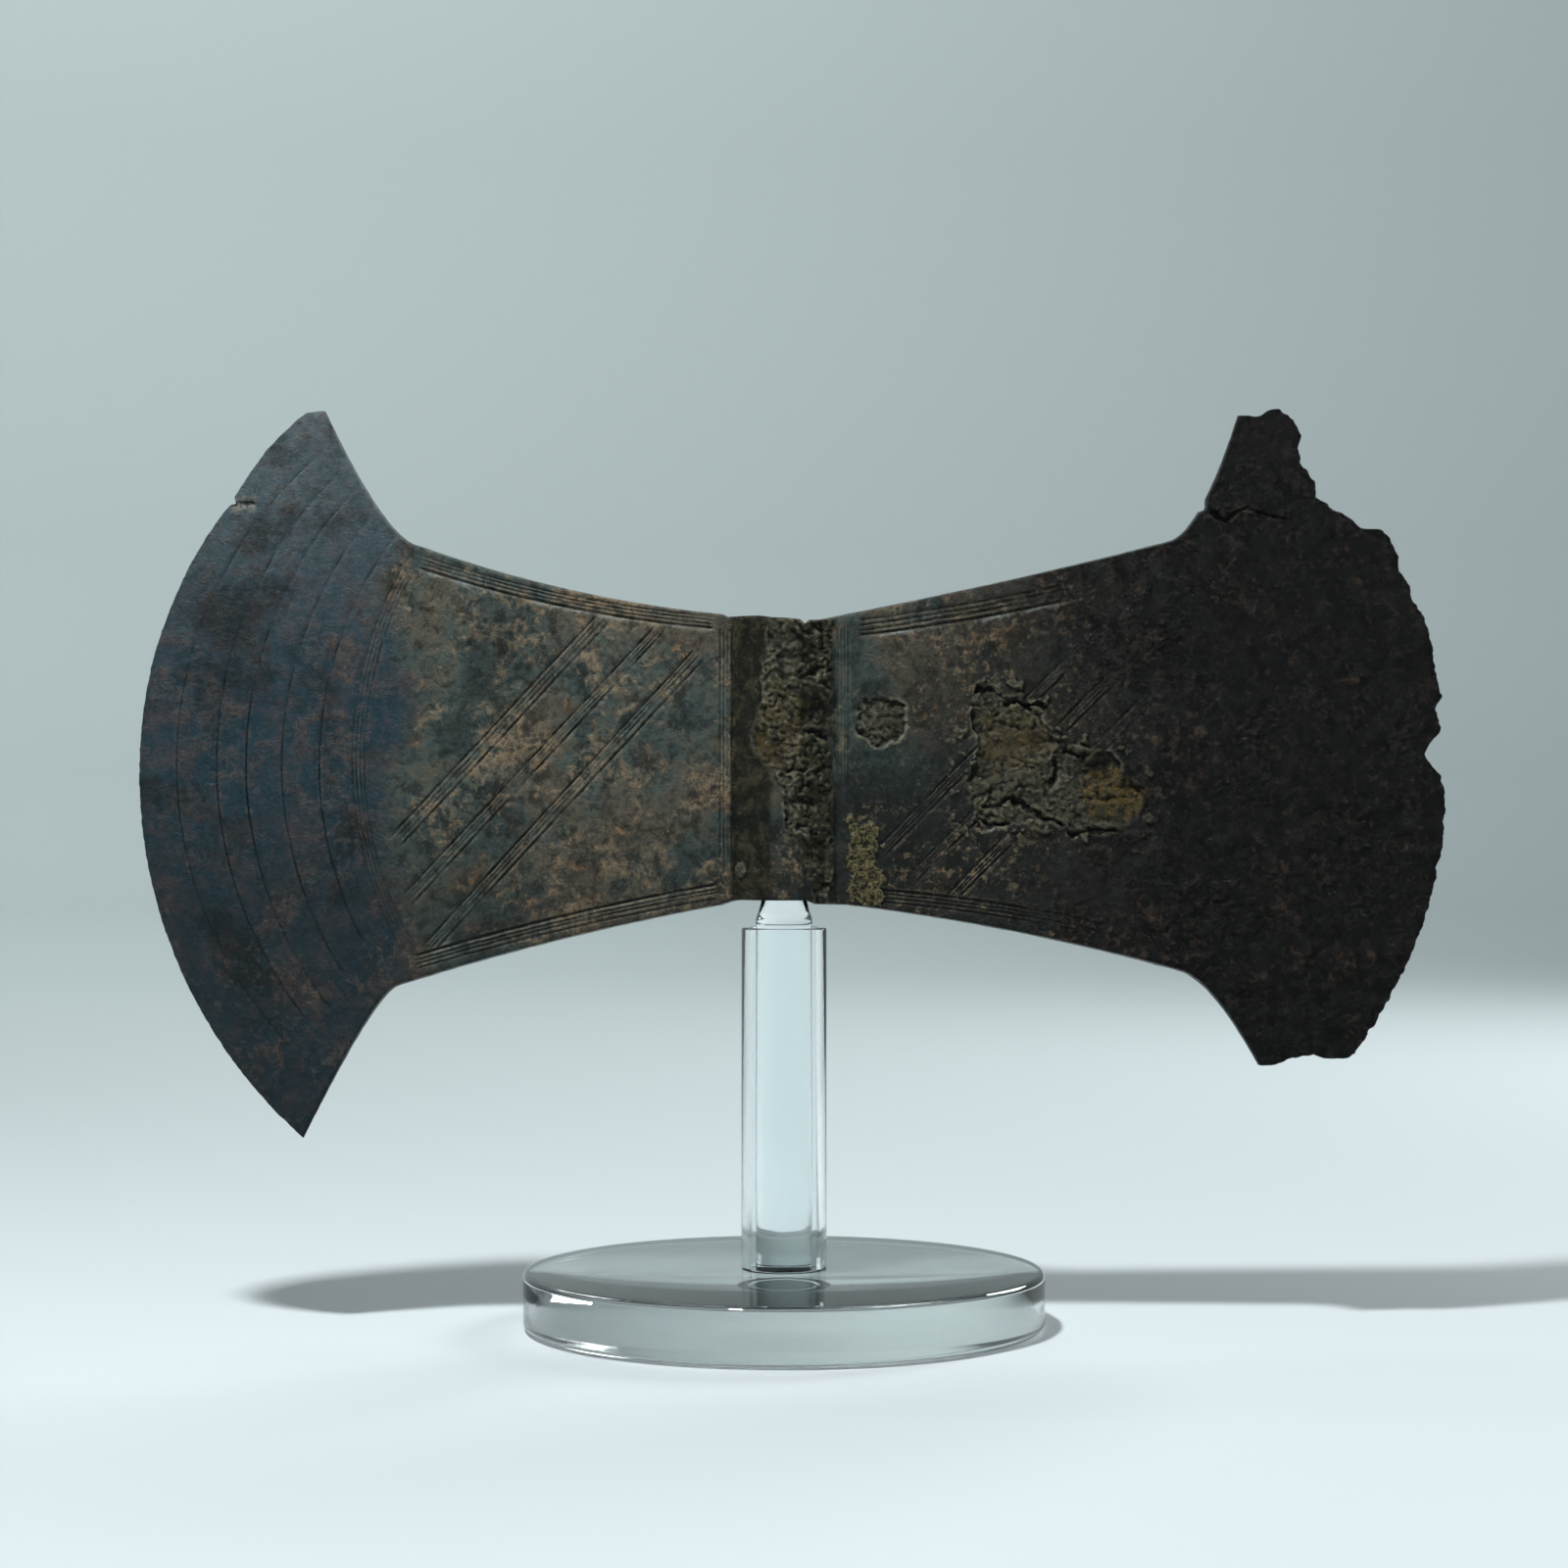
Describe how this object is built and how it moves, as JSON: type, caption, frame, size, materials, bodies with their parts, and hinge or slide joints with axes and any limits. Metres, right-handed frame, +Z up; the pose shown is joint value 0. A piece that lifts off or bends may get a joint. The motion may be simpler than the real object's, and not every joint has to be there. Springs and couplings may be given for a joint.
{
  "type": "bronze double axe head on a clear stand",
  "caption": "Cast double axe head with flaring crescent blades and a shaft hole, one blade worn ragged, held upright on a clear rod, tube and round foot.",
  "frame": {"origin": "middle of the foot's underside, on the axis of the rod and the shaft hole", "axes": "+Z up along the shaft hole, +X towards the worn blade, -Y out of the face that is seen"},
  "size_m": [0.2763, 0.11, 0.1929],
  "materials": {
    "patinated_bronze": "dark brown and blue-grey patina, corroded on the worn blade",
    "clear_acrylic": "clear polished"
  },
  "bodies": {
    "root": {"axe_head": "patinated_bronze", "stand_tube": "clear_acrylic", "stand_rod": "clear_acrylic", "stand_foot": "clear_acrylic"}
  },
  "joints": []
}
